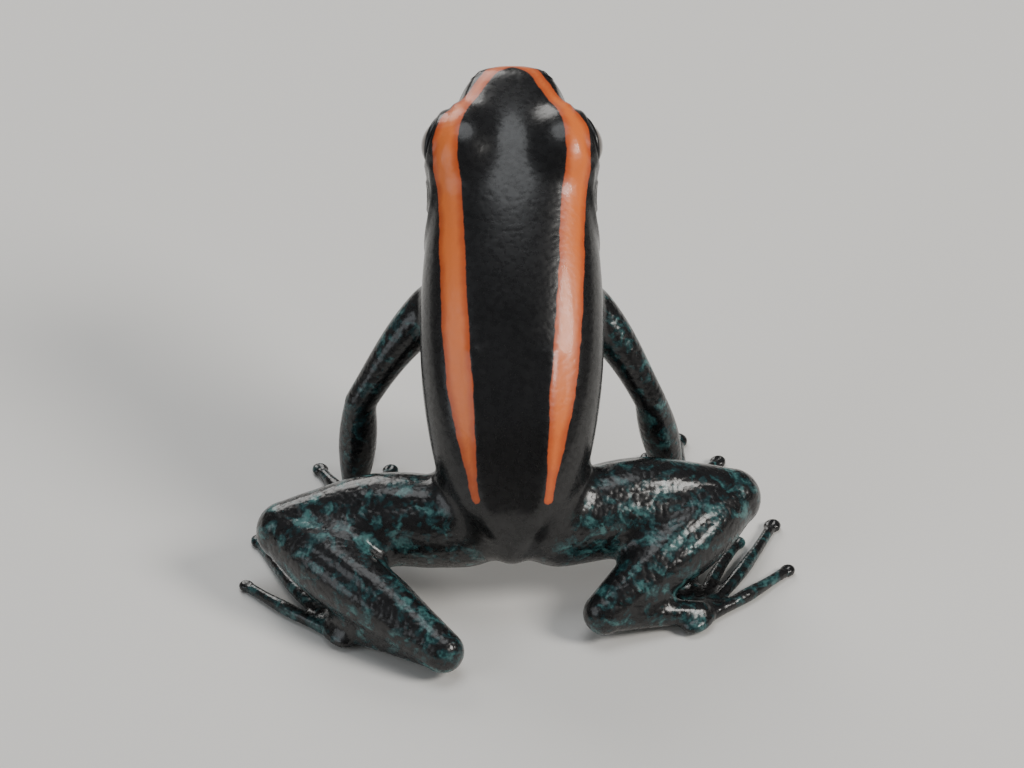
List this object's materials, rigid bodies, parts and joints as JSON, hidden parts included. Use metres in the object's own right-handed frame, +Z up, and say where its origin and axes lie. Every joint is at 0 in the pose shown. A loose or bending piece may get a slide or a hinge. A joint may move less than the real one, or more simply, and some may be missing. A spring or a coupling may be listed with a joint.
{
  "type": "golfodulcean poison frog",
  "caption": "Life-size still model of a small striped black frog that sits upright on folded hind legs, its hands and feet flat on the ground.",
  "frame": {"origin": "middle of the box round the frog, sideways and lengthwise, at the level of the ground under it", "axes": "+Z up, -Y the way the frog looks, +X towards the frog's left side"},
  "size_m": [0.0286, 0.025, 0.0219],
  "materials": {
    "skin": "moist black skin with two orange stripes",
    "leg_skin": "moist black skin mottled blue-green",
    "eye": "wet, almost black"
  },
  "bodies": {
    "root": {"head": "skin", "torso": "skin", "eye_left": "eye", "eye_right": "eye", "upper_arm_left": "leg_skin", "forearm_left": "leg_skin", "hand_left": "leg_skin", "thigh_left": "leg_skin", "shank_left": "leg_skin", "foot_left": "leg_skin", "upper_arm_right": "leg_skin", "forearm_right": "leg_skin", "hand_right": "leg_skin", "thigh_right": "leg_skin", "shank_right": "leg_skin", "foot_right": "leg_skin"}
  },
  "joints": []
}
